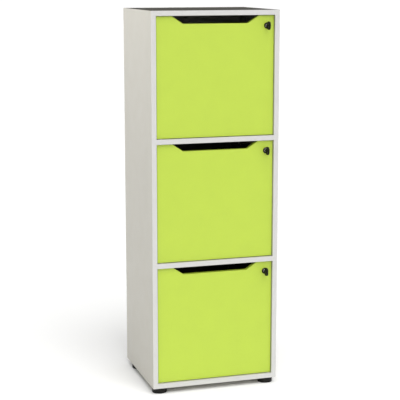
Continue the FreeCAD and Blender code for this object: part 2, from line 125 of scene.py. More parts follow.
def pointing(spot, direction):
    # puts a turned piece's foot on the spot, with its axis along the direction
    return Matrix.Translation(spot) @ Vector(direction).to_track_quat("Z", "Y").to_matrix().to_4x4()


def carve(piece, cutter):
    cut = piece.modifiers.new("cut", "BOOLEAN")
    cut.object = cutter
    cut.operation = "DIFFERENCE"
    cut.solver = "EXACT"
    graph = bpy.context.evaluated_depsgraph_get()
    mesh = bpy.data.meshes.new_from_object(piece.evaluated_get(graph))
    piece.modifiers.clear()
    piece.data = mesh
    bpy.data.objects.remove(cutter)


def joinRings(shape, rings, closeEnds=True):
    # skins rings of equal length, one to the next
    for low, high in zip(rings, rings[1:]):
        for step in range(len(low)):
            following = (step + 1) % len(low)
            shape.faces.new((low[step], low[following], high[following], high[step]))
    if closeEnds:
        shape.faces.new(rings[0])
        shape.faces.new(list(reversed(rings[-1])))


def turnRings(shape, profile, steps):
    # a profile is a list of (radius, height), turned about Z
    rings = []
    for radius, height in profile:
        ring = []
        for step in range(steps):
            angle = 2 * math.pi * step / steps
            ring.append(shape.verts.new((radius * math.cos(angle), radius * math.sin(angle), height)))
        rings.append(ring)
    return rings


def turnLoop(shape, profile, steps):
    # a turned piece with a hole through it: its profile closes on itself
    rings = turnRings(shape, profile, steps)
    joinRings(shape, rings + [rings[0]], closeEnds=False)


def turned(name, profile, steps):
    return meshPiece(name, lambda shape: joinRings(shape, turnRings(shape, profile, steps)))


def roundCorner(centreR, centreH, radius, fromDeg, toDeg, steps=5):
    points = []
    for step in range(steps + 1):
        angle = math.radians(fromDeg + (toDeg - fromDeg) * step / steps)
        points.append((centreR + radius * math.cos(angle), centreH + radius * math.sin(angle)))
    return points


def threads(radius, start, end, pitch=0.8 * mm, cut=0.35 * mm):
    points = []
    level = start
    while level + pitch < end:
        points += [(radius - cut, level), (radius, level + pitch / 2)]
        level += pitch
    return points + [(radius, end)]


def looseParts(node):
    # low and high corner of every separate solid in a node, from left to right and upwards
    shape = bmesh.new()
    shape.from_mesh(cadPiece(node).data)
    bmesh.ops.remove_doubles(shape, verts=shape.verts, dist=1e-6)
    waiting = set(shape.verts)
    parts = []
    while waiting:
        front = [waiting.pop()]
        low = front[0].co.copy()
        high = low.copy()
        while front:
            vertex = front.pop()
            low = Vector(map(min, low, vertex.co))
            high = Vector(map(max, high, vertex.co))
            for edge in vertex.link_edges:
                other = edge.other_vert(vertex)
                if other in waiting:
                    waiting.remove(other)
                    front.append(other)
        parts.append((low, high))
    shape.free()
    return sorted(parts, key=lambda part: tuple(round(value, 5) for value in part[0]))


def gather(name, pattern, places):
    # one mesh with a copy of the pattern at every place
    shape = bmesh.new()
    for matrix in places:
        known = len(shape.verts)
        shape.from_mesh(pattern.data)
        shape.verts.ensure_lookup_table()
        bmesh.ops.transform(shape, matrix=matrix, verts=shape.verts[known:])
    mesh = bpy.data.meshes.new(name)
    shape.to_mesh(mesh)
    shape.free()
    bpy.data.objects.remove(pattern)
    piece = bpy.data.objects.new(name, mesh)
    scene.collection.objects.link(piece)
    return piece


def standFor(piece, node, body, finish):
    # the piece is shown in the CAD node's place, which is hidden, rides on its body and takes the finish
    # given
    dress(piece, finishes[finish])
    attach(piece, body)
    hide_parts(node)


# camera

cameraSet = {"spot": (-1.2145, -3.8932, 1.3656), "turn": 17.3, "dip": 10.45, "lens": 110.1}


def makeCamera():
    data = bpy.data.cameras.new("camera")
    data.lens = cameraSet["lens"]
    data.sensor_width = 36
    data.clip_end = 900
    camera = bpy.data.objects.new("camera", data)
    camera.location = cameraSet["spot"]
    camera.rotation_euler = (math.radians(90 - cameraSet["dip"]), 0, math.radians(-cameraSet["turn"]))
    scene.collection.objects.link(camera)
    scene.camera = camera


makeCamera()
print("camera placed")


# studio: pale floor and soft lights

studioSet = {
    # light from all round, stronger from the front and the right
    "domeFrom": (0.45, -0.80, 0.40),
    "domeSpan": {"From Min": -0.8, "From Max": 0.8, "To Min": 0.08, "To Max": 0.94},
    # a pale band all round, so that a low view has no dark wall behind it
    "horizonSpan": {"From Min": 0.42, "From Max": 0.20, "To Min": 0.0, "To Max": 0.72},
    "sun": 1.75,
    "sunSpread": 45,       # degrees across, for a soft shadow
    "sunFrom": (0.08, -1.00, 1.50),
    "floorHalf": 300,
    "floorColour": "#FBFBFA",
    # a soft lamp close to the left side's upper end
    "lamp": {"spot": (-1.0, 0.05, 1.75), "aim": (-0.215, 0, 1.25), "size": 0.4, "watts": 4.6},
}


def makeDome():
    world = bpy.data.worlds.new("studio")
    world.use_nodes = True
    backdrop = world.node_tree.nodes["Background"]
    backdrop.inputs["Color"].default_value = (1.0, 1.0, 1.0, 1.0)
    look = addNode(world, "TexCoord")
    source = Vector(studioSet["domeFrom"]).normalized()
    facing = addNode(world, "VectorMath", {"operation": "DOT_PRODUCT", 1: source},
                     {0: look.outputs["Generated"]})
    level = addNode(world, "MapRange", studioSet["domeSpan"], {"Value": facing.outputs["Value"]})
    rise = addNode(world, "SeparateXYZ", links={"Vector": look.outputs["Generated"]})
    band = addNode(world, "MapRange", studioSet["horizonSpan"], {"Value": rise.outputs["Z"]})
    brighter = addNode(world, "Math", {"operation": "MAXIMUM"},
                       {0: level.outputs["Result"], 1: band.outputs["Result"]})
    feed(world, brighter.outputs["Value"], backdrop.inputs["Strength"])
    scene.world = world


def makeFloor():
    half = studioSet["floorHalf"]

    def build(shape):
        corners = ((-1, -1), (1, -1), (1, 1), (-1, 1))
        shape.faces.new([shape.verts.new((x * half, y * half, 0)) for x, y in corners])

    floor = meshPiece("studioFloor", build)
    paper, shader = newMaterial("studioPaper", Roughness=0.9)
    shader.inputs["Base Color"].default_value = linearColour(studioSet["floorColour"])
    dress(floor, paper)


def makeLights():
    sunData = bpy.data.lights.new("sun", "SUN")
    sunData.energy = studioSet["sun"]
    sunData.angle = math.radians(studioSet["sunSpread"])
    sun = bpy.data.objects.new("sun", sunData)
    sun.rotation_euler = Vector(studioSet["sunFrom"]).to_track_quat("Z", "Y").to_euler()
    scene.collection.objects.link(sun)
    lampSet = studioSet["lamp"]
    lampData = bpy.data.lights.new("sideLamp", "AREA")
    lampData.shape = "DISK"
    lampData.size = lampSet["size"]
    lampData.energy = lampSet["watts"]
    lamp = bpy.data.objects.new("sideLamp", lampData)
    lamp.location = lampSet["spot"]
    shine = Vector(lampSet["aim"]) - Vector(lampSet["spot"])
    lamp.rotation_euler = shine.to_track_quat("-Z", "Y").to_euler()
    scene.collection.objects.link(lamp)


makeDome()
makeFloor()
makeLights()
scene.view_settings.view_transform = "Standard"
print("studio lit")


# a noise gives most of its values in this span
noiseSpan = {"From Min": 0.3, "From Max": 0.7}


# laminated board: melamine paper pressed on chipboard, with a glued strip round the edges;
# it looks hard and satin, with a fine pearl texture and a thin darker line at each corner
laminateSet = {
    "pearl": 1.1,          # mm, drawn coarser than the real 0.3 mm so that it shows
    "pearlShades": (0.955, 1.02),
    "mottle": 55,          # mm, faint patches from handling
    "mottleShades": (0.985, 1.012),
    "roughness": (0.37, 0.49),
    "relief": 0.01,        # mm
    "seamTint": 0.90,      # the glue line and the rubbed corner, against the face
    "seamSpan": (0.08, 0.35, 0.85, 0.97),
    "frontalFrom": 0.6,    # how squarely a face looks ahead, or up, to be a front or the top
    "topFrom": 0.9,
    "topFleck": 1.6,       # mm, the dark top sheet's pattern
    "topShades": (0.8, 1.3),
    "topRoughness": 0.80,
}
laminateColours = {
    "greyFace": "#BDBAB0",
    "greyStrip": "#C5C4C3",
    "greenFace": "#B1C840",
    "greenStrip": "#AFC63C",
    "topFace": "#2E2B20",
}


def laminate(name, sideways, frontal, thickAxis, topFace=None):
    # two tones: one for what looks to the front or the back, and one for the rest
    material, shader = newMaterial(name, IOR=1.5)
    spots = addNode(material, "TexCoord")
    pearl = addNode(material, "TexNoise", {"Scale": 1 / (laminateSet["pearl"] * mm), "Detail": 3.0},
                    {"Vector": spots.outputs["Object"]})
    mottle = addNode(material, "TexNoise", {"Scale": 1 / (laminateSet["mottle"] * mm), "Detail": 4.0},
                     {"Vector": spots.outputs["Object"]})
    normal = addNode(material, "SeparateXYZ", links={"Vector": spots.outputs["Normal"]})
    ahead = addNode(material, "Math", {"operation": "ABSOLUTE"}, {0: normal.outputs["Y"]})
    isFrontal = addNode(material, "Math", {"operation": "GREATER_THAN", 1: laminateSet["frontalFrom"]},
                        {0: ahead.outputs["Value"]})
    tones = {6: linearColour(laminateColours[sideways]), 7: linearColour(laminateColours[frontal])}
    tone = addNode(material, "Mix", {"data_type": "RGBA", **tones}, {0: isFrontal.outputs["Value"]})
    lowRough, highRough = laminateSet["roughness"]
    rough = addNode(material, "MapRange", {**noiseSpan, "To Min": lowRough, "To Max": highRough},
                    {"Value": mottle.outputs["Fac"]})
    roughness = rough.outputs["Result"]
    if topFace:
        isTop = addNode(material, "Math", {"operation": "GREATER_THAN", 1: laminateSet["topFrom"]},
                        {0: normal.outputs["Z"]})
        fleck = addNode(material, "TexNoise", {"Scale": 1 / (laminateSet["topFleck"] * mm), "Detail": 5.0},
                        {"Vector": spots.outputs["Object"]})
        darkSheet = addNode(material, "ValToRGB", links={"Fac": fleck.outputs["Fac"]})
        stops = zip(darkSheet.color_ramp.elements, noiseSpan.values(), laminateSet["topShades"])
        for stop, place, shade in stops:
            stop.position = place
            stop.color = linearColour(laminateColours[topFace], shade)
        tone = addNode(material, "Mix", {"data_type": "RGBA"}, {
            0: isTop.outputs["Value"], 6: tone.outputs[2], 7: darkSheet.outputs["Color"]})
        dull = addNode(material, "Mix", {3: laminateSet["topRoughness"]},
                       {0: isTop.outputs["Value"], 2: roughness})
        roughness = dull.outputs[0]
    # 1 on the wide faces and 0 on the strips, so the steps between lie on the rounded corner
    across = addNode(material, "Math", {"operation": "ABSOLUTE"}, {0: normal.outputs[thickAxis]})
    seam = addNode(material, "ValToRGB", links={"Fac": across.outputs["Value"]})
    tint = laminateSet["seamTint"]
    strip, seamStart, seamEnd, face = laminateSet["seamSpan"]
    seam.color_ramp.elements[0].position = strip
    seam.color_ramp.elements[0].color = (1, 1, 1, 1)
    seam.color_ramp.elements[1].position = face
    for place in (seamStart, seamEnd):
        seam.color_ramp.elements.new(place).color = (tint, tint, tint, 1)
    layers = [seam.outputs["Color"]]
    for texture, shades in ((pearl, "pearlShades"), (mottle, "mottleShades")):
        low, high = laminateSet[shades]
        shade = addNode(material, "MapRange", {**noiseSpan, "To Min": low, "To Max": high},
                        {"Value": texture.outputs["Fac"]})
        layers.append(shade.outputs["Result"])
    for layer in layers:
        tone = addNode(material, "Mix", {"data_type": "RGBA", "blend_type": "MULTIPLY", 0: 1.0},
                       {6: tone.outputs[2], 7: layer})
    relief = addNode(material, "Bump", {"Distance": laminateSet["relief"] * mm},
                     {"Height": pearl.outputs["Fac"]})
    feed(material, tone.outputs[2], shader.inputs["Base Color"])
    feed(material, roughness, shader.inputs["Roughness"])
    feed(material, relief.outputs["Normal"], shader.inputs["Normal"])
    return material


laminates = {
    "upright": laminate("greyMelamineUpright", "greyFace", "greyStrip", "X"),
    "flat": laminate("greyMelamineFlat", "greyFace", "greyStrip", "Z"),
    "top": laminate("greyMelamineTop", "greyFace", "greyStrip", "Z", "topFace"),
    "door": laminate("limeMelamineDoor", "greenStrip", "greenFace", "Y"),
}
print("laminates made")


# plastics, metals, hardboard and wood
# grain, patch and relief are in mm; edgeWearAndHighlight is the convex edges' tone against the rest, rubbed
# wear and, where it lightens them, partly a painted highlight; cloudy is how much lighter or darker a patch
# may be, and drawn stretches the grain along the axis that it makes smaller
finishSet = {
    # moulded ABS: deep black and half glossy, with soft highlights on its round edges, partly painted into
    # the edge tone
    "bowPlastic": {"name": "blackAbs", "colour": "#0C0C0B", "roughness": 0.36, "grain": 0.5, "patch": 9,
                   "relief": 0.010, "edgeWearAndHighlight": 1.6, "shader": {"IOR": 1.54, "Specular_IOR_Level": 0.12}},
    # moulded polypropylene: matt black with a waxy, faintly grained skin
    "binPlastic": {"name": "blackPolypropylene", "colour": "#1D1C1A", "roughness": 0.50, "grain": 0.9,
                   "patch": 22, "relief": 0.025, "edgeWearAndHighlight": 1.5, "shader": {"IOR": 1.49}},
    # moulded polyethylene: a tough black that scuffs to grey at the sole
    "footPlastic": {"name": "blackPolyethylene", "colour": "#100F0D", "roughness": 0.44, "grain": 0.7,
                    "patch": 12, "relief": 0.020, "edgeWearAndHighlight": 1.8,
                    "shader": {"IOR": 1.52, "Specular_IOR_Level": 0.2}},
    # natural nylon: milky white, slightly see-through at thin edges
    "nylon": {"name": "naturalNylon", "colour": "#DEDBCF", "roughness": 0.42, "grain": 0.6, "patch": 10,
              "relief": 0.010, "edgeWearAndHighlight": 1.05, "shader": {"IOR": 1.53, "Subsurface_Weight": 0.1}},
    # nickel plate on turned brass: bright and warm, with fine tool marks along its length
    "nickel": {"name": "nickelPlate", "colour": "#DAD6CC", "roughness": 0.20, "grain": 0.5, "patch": 6,
               "relief": 0.005, "edgeWearAndHighlight": 1.1, "drawn": (1, 1, 0.12), "shader": {"Metallic": 1.0}},
    # zinc-plated steel: cool and cloudy, with drawing marks
    "zinc": {"name": "zincPlatedSteel", "colour": "#BFC3C8", "roughness": 0.34, "grain": 0.6, "patch": 6,
             "relief": 0.005, "edgeWearAndHighlight": 1.15, "drawn": (1, 1, 0.12), "shader": {"Metallic": 1.0}},
    # die-cast zinc: dull grey with a grainy skin
    "castZinc": {"name": "dieCastZinc", "colour": "#A0A1A4", "roughness": 0.48, "grain": 0.9, "patch": 8,
                 "relief": 0.015, "edgeWearAndHighlight": 1.3, "shader": {"Metallic": 1.0}},
    # printed hardboard: dull and pale, with short upright fibres
    "hardboard": {"name": "printedHardboard", "colour": "#C9C6BD", "roughness": 0.62, "grain": 2.2,
                  "patch": 40, "cloudy": 0.035, "relief": 0.025, "edgeWearAndHighlight": 0.9, "drawn": (1, 1, 0.25),
                  "shader": {"IOR": 1.48}},
    # beech: pale pinkish brown, with the grain along the peg
    "beech": {"name": "beech", "colour": "#C49B6C", "roughness": 0.60, "grain": 0.8, "patch": 6,
              "relief": 0.025, "edgeWearAndHighlight": 0.9, "drawn": (0.15, 1, 1), "shader": {"IOR": 1.5}},
}


wearAndHighlightSet = {
    "cloudy": 0.1,
    "grainShades": {"To Min": 0.93, "To Max": 1.03},
    "duller": 0.08,        # the patches' roughness, above and below the finish's own
    "shinier": 0.06,
    # the pointiness span that marks convex edges for the painted highlight and rubbed wear
    "edgeSpan": {"From Min": 0.53, "From Max": 0.62, "To Max": 0.6},
    "edgePolish": -0.1,
}


def makeFinish(values):
    # cloudy colour, a fine grain in colour and relief, and convex edges that are smoother, in a tone that
    # is partly rubbed wear and partly painted highlight
    material, shader = newMaterial(values["name"], **values["shader"])
    colour, roughness = values["colour"], values["roughness"]
    spots = addNode(material, "TexCoord")
    lie = addNode(material, "Mapping", {"Scale": values.get("drawn", (1, 1, 1))},
                  {"Vector": spots.outputs["Object"]})
    grain = addNode(material, "TexNoise", {"Scale": 1 / (values["grain"] * mm), "Detail": 5.0},
                    {"Vector": lie.outputs["Vector"]})
    patch = addNode(material, "TexNoise", {"Scale": 1 / (values["patch"] * mm), "Detail": 3.0},
                    {"Vector": spots.outputs["Object"]})
    clouds = addNode(material, "ValToRGB", links={"Fac": patch.outputs["Fac"]})
    cloudy = values.get("cloudy", wearAndHighlightSet["cloudy"])
    stops = zip(clouds.color_ramp.elements, noiseSpan.values(), (1 - cloudy, 1 + cloudy))
    for stop, place, shade in stops:
        stop.position = place
        stop.color = linearColour(colour, shade)
    grainShade = addNode(material, "MapRange", {**noiseSpan, **wearAndHighlightSet["grainShades"]},
                         {"Value": grain.outputs["Fac"]})
    grained = addNode(material, "Mix", {"data_type": "RGBA", "blend_type": "MULTIPLY", 0: 1.0},
                      {6: clouds.outputs["Color"], 7: grainShade.outputs["Result"]})
    surface = addNode(material, "NewGeometry")
    # painted highlight and rubbed wear: convex edges take the edge tone, lighter on most finishes and
    # darker on hardboard and beech
    edges = addNode(material, "MapRange", wearAndHighlightSet["edgeSpan"], {"Value": surface.outputs["Pointiness"]})
    rubbedAndHighlitEdges = addNode(material, "Mix", {"data_type": "RGBA", 7: linearColour(colour, values["edgeWearAndHighlight"])},
                     {0: edges.outputs["Result"], 6: grained.outputs[2]})
    shineSpan = {"To Min": roughness - wearAndHighlightSet["shinier"], "To Max": roughness + wearAndHighlightSet["duller"]}
    cloudyShine = addNode(material, "MapRange", {**noiseSpan, **shineSpan}, {"Value": patch.outputs["Fac"]})
    polish = addNode(material, "Math", {"operation": "MULTIPLY_ADD", 1: wearAndHighlightSet["edgePolish"]},
                     {0: edges.outputs["Result"], 2: cloudyShine.outputs["Result"]})
    relief = addNode(material, "Bump", {"Distance": values["relief"] * mm},
                     {"Height": grain.outputs["Fac"]})
    feed(material, rubbedAndHighlitEdges.outputs[2], shader.inputs["Base Color"])
    feed(material, polish.outputs["Value"], shader.inputs["Roughness"])
    feed(material, relief.outputs["Normal"], shader.inputs["Normal"])
    return material


finishes = {key: makeFinish(values) for key, values in finishSet.items()}
print("finishes made")


# pieces that keep their exact shape

edgeSet = {"board": 0.5 * mm, "door": 0.5 * mm, "pressed": 0.3 * mm, "moulded": 0.8 * mm}


def dressBoards():
    kinds = {"left_side": "upright", "right_side": "upright", "bottom_board": "flat", "lower_shelf": "flat",
             "upper_shelf": "flat", "top_board": "top"}
    for node, kind in kinds.items():
        dress(cadPiece(node), laminates[kind])
        softenEdges(cadPiece(node), edgeSet["board"])
    for bay in bays:
        dress(cadPiece(f"{bay}_door"), laminates["door"])
        softenEdges(cadPiece(f"{bay}_door"), edgeSet["door"])
    dress(cadPiece("back_panel"), finishes["hardboard"])


def dressFittings():
    for node in ("cam_bolts", "wood_dowels"):
        dress(cadPiece(node), finishes["beech" if node == "wood_dowels" else "zinc"])
    for bay in bays:
        for piece, finish, edge in (("strike_plate", "zinc", "pressed"), ("lock_cam", "zinc", "pressed"),
                                    ("door_stop", "nylon", "moulded")):
            dress(cadPiece(f"{bay}_{piece}"), finishes[finish])
            softenEdges(cadPiece(f"{bay}_{piece}"), edgeSet[edge])


dressBoards()
dressFittings()
print("boards and fittings dressed")


# feet

footSet = {
    "bore": 2.5 * mm, "sink": 6.5 * mm, "sinkDepth": 8 * mm,
    "sole": 1.8 * mm, "shoulder": 0.8 * mm,
    "groove": 0.6 * mm, "grooveHeight": 4.5 * mm,
    "steps": 72,
}


def makeFoot(node):
    low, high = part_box(node)
    radius = (high.x - low.x) / 2
    height = high.z - low.z
    sole, shoulder, groove, level = (footSet[key] for key in ("sole", "shoulder", "groove", "grooveHeight"))
    sink, sinkDepth = footSet["sink"], footSet["sinkDepth"]
    profile = [(footSet["bore"], sinkDepth), (sink, sinkDepth), (sink, 0)]
    profile += roundCorner(radius - sole, sole, sole, -90, 0)
    profile += [(radius, level - groove), (radius - groove, level), (radius, level + groove)]
    profile += roundCorner(radius - shoulder, height - shoulder, shoulder, 0, 90, 3)
    profile += [(footSet["bore"], height)]
    foot = meshPiece(f"{node}_glide", lambda shape: turnLoop(shape, profile, footSet["steps"]))
    move(foot, Matrix.Translation(((low.x + high.x) / 2, (low.y + high.y) / 2, low.z)))
    standFor(foot, node, "cabinet", "footPlastic")


for footNode in ("front_left_foot", "front_right_foot", "rear_left_foot", "rear_right_foot"):
    makeFoot(footNode)
print("feet made")


# screws: domed heads with a cross recess

screwSet = {
    # which way the head looks, the body it rides on, head height and shank radius
    "back_panel_screws": ((0, 1, 0), "cabinet", 1.6 * mm, 1.75 * mm),
    "strike_screws": ((-1, 0, 0), "cabinet", 1.6 * mm, 1.75 * mm),
    "foot_screws": ((0, 0, -1), "cabinet", 2.25 * mm, 2.5 * mm),
    "bottom_cam_screw": ((0, 1, 0), "bottom_lock", 2.5 * mm, 2.0 * mm),
    "middle_cam_screw": ((0, 1, 0), "middle_lock", 2.5 * mm, 2.0 * mm),
    "top_cam_screw": ((0, 1, 0), "top_lock", 2.5 * mm, 2.0 * mm),
}
headSet = {"under": 0.1 * mm, "edge": 0.2 * mm, "rim": 0.15, "domeSteps": 6, "steps": 40}
# shares of the head's radius and height
recessSet = {"arm": 0.58, "web": 0.15, "taper": 0.45, "depth": 0.75, "above": 1.05}


def makeScrews(node, look, body, headHeight, shankRadius):
    look = Vector(look)
    parts = looseParts(node)
    low, high = parts[0]
    span = high - low
    length = abs(span.dot(look))
    headRadius = max(abs(span[axis]) for axis in range(3) if not look[axis]) / 2
    tip = headHeight - length
    profile = [(thin, tip)] + threads(shankRadius, tip + shankRadius, -shankRadius / 2)
    profile += [(shankRadius, 0), (headRadius - headSet["under"], 0), (headRadius, headSet["edge"])]
    for step in range(headSet["domeSteps"]):
        angle = math.radians(90 * (step + 1) / headSet["domeSteps"])
        dome = headHeight * (headSet["rim"] + (1 - headSet["rim"]) * math.sin(angle))
        profile.append((max(headRadius * math.cos(angle), thin), dome))
    pattern = turned("screw", profile, headSet["steps"])
    cutRecess(pattern, headRadius, headHeight)
    places = []
    for low, high in parts:
        middle = (low + high) / 2
        places.append(pointing(middle + look * (length / 2 - headHeight), look))
    standFor(gather(f"{node}_detail", pattern, places), node, body, "zinc")


def cutRecess(piece, headRadius, headHeight):
    arm = recessSet["arm"] * headRadius
    web = recessSet["web"] * headRadius

    def build(shape):
        rings = []
        for share, level in ((recessSet["taper"], 1 - recessSet["depth"]), (1.0, recessSet["above"])):
            ring = []
            for quarter in range(4):
                turn = Matrix.Rotation(math.radians(90 * quarter), 3, "Z")
                for x, y in ((arm * share, -web), (arm * share, web), (web, web)):
                    ring.append(shape.verts.new(turn @ Vector((x, y, level * headHeight))))
            rings.append(ring)
        joinRings(shape, rings)

    carve(piece, meshPiece("recess", build))


for screwNode, screwValues in screwSet.items():
    makeScrews(screwNode, *screwValues)
print("screws made")


# hinge pins and their nylon cups

hingeSet = {
    "chamfer": 0.6 * mm, "ringCut": 0.25 * mm,
    "sleeve": 5 * mm, "sleeveLength": 6.5 * mm, "flange": 7 * mm, "cupFloor": 1 * mm, "bore": 3.05 * mm,
    "edge": 0.25 * mm, "pinSteps": 40, "cupSteps": 48,
}


def makeHingePins(bay):
    node = f"{bay}_hinge_pins"
    parts = looseParts(node)
    low, high = parts[0]
    radius = (high.x - low.x) / 2
    length = high.z - low.z
    chamfer, cut = hingeSet["chamfer"], hingeSet["ringCut"]
    middle = length / 2
    profile = [(radius - chamfer, 0), (radius, chamfer), (radius, middle - 2 * cut),
               (radius - cut, middle - cut), (radius - cut, middle + cut), (radius, middle + 2 * cut),
               (radius, length - chamfer), (radius - chamfer, length)]
    pattern = turned("pin", profile, hingeSet["pinSteps"])
    places = []
    for low, high in parts:
        places.append(Matrix.Translation(((low.x + high.x) / 2, (low.y + high.y) / 2, low.z)))
    standFor(gather(f"{node}_detail", pattern, places), node, f"{bay}_door", "zinc")


def makeCups():
    parts = looseParts("pivot_bushes")
    low, high = parts[0]
    height = high.z - low.z
    sleeve, flange, bore, edge = (hingeSet[key] for key in ("sleeve", "flange", "bore", "edge"))
    length, floor = hingeSet["sleeveLength"], hingeSet["cupFloor"]
    profile = [(thin, 0), (sleeve - edge, 0), (sleeve, edge), (sleeve, length), (flange - edge, length),
               (flange, length + edge), (flange, height - edge), (flange - edge, height),
               (bore + edge, height), (bore, height - edge), (bore, floor), (thin, floor)]
    pattern = turned("cup", profile, hingeSet["cupSteps"])
    places = []
    for index, (low, high) in enumerate(parts):
        opensUp = index % 2 == 0        # from the floor up, the cups face each other across each bay
        middle = (low + high) / 2
        look = Vector((0, 0, 1 if opensUp else -1))
        places.append(pointing(middle - look * height / 2, look))
    standFor(gather("pivot_bushes_detail", pattern, places), "pivot_bushes", "cabinet", "nylon")


for bayName in bays:
    makeHingePins(bayName)
makeCups()
print("hinges made")


# board fittings: die-cast discs that draw the bolts in

discSet = {"edge": 0.5 * mm, "lip": 1.0 * mm, "dish": 0.6 * mm, "cross": 0.75, "steps": 40}


def makeDiscs():
    parts = looseParts("cam_discs")
    low, high = parts[0]
    span = high - low
    height = min(span)
    radius = max(span) / 2
    edge, lip, dish = discSet["edge"], discSet["lip"], discSet["dish"]
    profile = [(thin, 0), (radius - edge, 0), (radius, edge), (radius, height - edge),
               (radius - edge, height), (radius - lip, height), (radius - lip - dish, height - dish),
               (thin, height - dish)]
    pattern = turned("disc", profile, discSet["steps"])
    cutRecess(pattern, radius * discSet["cross"], height)
    places = []
    for low, high in parts:
        span = high - low
        middle = (low + high) / 2
        inSideBoard = span.x < span.z        # it looks into the cabinet, and one in a shelf looks down
        look = Vector((-math.copysign(1, middle.x), 0, 0)) if inSideBoard else Vector((0, 0, -1))
        places.append(pointing(middle - look * height / 2, look))
    standFor(gather("cam_discs_detail", pattern, places), "cam_discs", "cabinet", "castZinc")


makeDiscs()
print("board fittings made")


# locks: a black rosette, a nickel plug, a hexagon nut

lockSet = {
    "rise": 3 * mm, "round": 1.5 * mm, "mouth": 7.05 * mm, "mouthEdge": 0.2 * mm, "bore": 5.55 * mm,
    "barrel": 8 * mm, "barrelEnd": 26 * mm, "threadFrom": 5 * mm, "pitch": 1.25 * mm,
    "threadCut": 0.5 * mm,
    "head": 6.95 * mm, "headDepth": 1.5 * mm, "headEdge": 0.4 * mm, "play": 0.05 * mm,
    "plug": 5.5 * mm, "plugEnd": 29 * mm,
    # a turned ring on the plug's face: how far in it starts, reaches its depth and ends
    "ring": (0.9 * mm, 0.6 * mm, 0.2 * mm), "ringDepth": 0.35 * mm, "face": 0.1 * mm,
    "tenonHalf": 3.5 * mm, "tenonEdge": 0.4 * mm, "tenonEnd": 31.8 * mm,
    "keywayHalf": (1.2 * mm, 3.7 * mm), "keywayLead": 0.3 * mm, "keywayEnd": 21.5 * mm,
    "nutChamfer": 0.8 * mm, "nutGap": 0.1 * mm,
    "steps": 56, "nutSteps": 96,
}


def lockAxis(bay):
    # the point where the lock's axis meets the front of its rosette, with Z running inwards
    low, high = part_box(f"{bay}_lock_body")
    return pointing(Vector(((low.x + high.x) / 2, low.y, (low.z + high.z) / 2)), (0, 1, 0))


def makeRosette(bay):
    low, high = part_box(f"{bay}_lock_body")
    radius = (high.x - low.x) / 2
    rise, rounding, barrel = lockSet["rise"], lockSet["round"], lockSet["barrel"]
    end = rise + lockSet["barrelEnd"]
    bore, mouth, depth, edge = lockSet["bore"], lockSet["mouth"], lockSet["headDepth"], lockSet["mouthEdge"]
    profile = [(bore, end), (bore, depth), (mouth, depth), (mouth, edge), (mouth + edge, 0)]
    profile += roundCorner(radius - rounding, rounding, rounding, -90, 0)
    profile += [(radius, rise), (barrel, rise)]
    profile += threads(barrel, rise + lockSet["threadFrom"], end, lockSet["pitch"], lockSet["threadCut"])
    body = meshPiece(f"{bay}_rosette", lambda shape: turnLoop(shape, profile, lockSet["steps"]))
    move(body, lockAxis(bay))
    standFor(body, f"{bay}_lock_body", f"{bay}_door", "bowPlastic")


def makePlug(bay):
    head, depth, plug = lockSet["head"], lockSet["headDepth"], lockSet["plug"]
    edge, play, face = lockSet["headEdge"], lockSet["play"], lockSet["face"]
    ringStart, ringFull, ringEnd = (plug - inset for inset in lockSet["ring"])
    ringDepth, end = lockSet["ringDepth"], lockSet["plugEnd"]
    profile = [(thin, face), (ringStart, face), (ringFull, ringDepth), (ringEnd, ringDepth), (plug, play),
               (head - edge, play), (head, play + edge), (head, depth - play), (plug - play, depth),
               (plug - play, end), (thin, end)]
    barrel = turned("barrel", profile, lockSet["steps"])
    halfX, halfY = lockSet["keywayHalf"]
    lead = lockSet["keywayLead"]         # the keyway opens a little at the face
    keyway = meshPiece("keyway", lambda shape: joinRings(shape, [
        boxRing(shape, halfX + lead, halfY + lead, -1 * mm),
        boxRing(shape, halfX + lead, halfY + lead, face),
        boxRing(shape, halfX, halfY, face + edge),
        boxRing(shape, halfX, halfY, lockSet["keywayEnd"])]))
    carve(barrel, keyway)
    half, tenonEdge, tenonEnd = lockSet["tenonHalf"], lockSet["tenonEdge"], lockSet["tenonEnd"]

    def build(shape):
        # the barrel and the square tenon that the cam sits on
        shape.from_mesh(barrel.data)
        joinRings(shape, [boxRing(shape, half, half, end - 0.5 * mm),
                          boxRing(shape, half, half, tenonEnd - tenonEdge),
                          boxRing(shape, half - tenonEdge, half - tenonEdge, tenonEnd)])

    piece = meshPiece(f"{bay}_plug_detail", build)
    bpy.data.objects.remove(barrel)
    move(piece, lockAxis(bay))
    standFor(piece, f"{bay}_lock_plug", f"{bay}_lock", "nickel")


def boxRing(shape, halfX, halfY, level):
    corners = ((-1, -1), (1, -1), (1, 1), (-1, 1))
    return [shape.verts.new((x * halfX, y * halfY, level)) for x, y in corners]


def makeNut(bay):
    low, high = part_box(f"{bay}_lock_nut")
    cornerRadius = (high.x - low.x) / 2
    flat = cornerRadius * math.cos(math.radians(30))
    height = high.y - low.y
    chamfer = lockSet["nutChamfer"]
    limits = ((flat, 0), (cornerRadius, chamfer), (cornerRadius, height - chamfer), (flat, height))
    bore = lockSet["barrel"] + lockSet["nutGap"]
    steps = lockSet["nutSteps"]

    def build(shape):
        rings = []
        for limit, level in limits:
            ring = []
            for step in range(steps):
                angle = 2 * math.pi * step / steps
                side = (angle + math.pi / 6) % (math.pi / 3) - math.pi / 6
                radius = min(flat / math.cos(math.pi / 6 - abs(side)), limit)
                ring.append(shape.verts.new((radius * math.cos(angle), radius * math.sin(angle), level)))
            rings.append(ring)
        hole = turnRings(shape, [(bore, height), (bore, 0)], steps)
        joinRings(shape, rings + hole + [rings[0]], closeEnds=False)

    nut = meshPiece(f"{bay}_nut", build)
    move(nut, pointing(Vector(((low.x + high.x) / 2, low.y, (low.z + high.z) / 2)), (0, 1, 0)))
    standFor(nut, f"{bay}_lock_nut", f"{bay}_door", "zinc")


for bayName in bays:
    makeRosette(bayName)
    makePlug(bayName)
    makeNut(bayName)
print("locks made")


# keys: a notched blade in a moulded bow

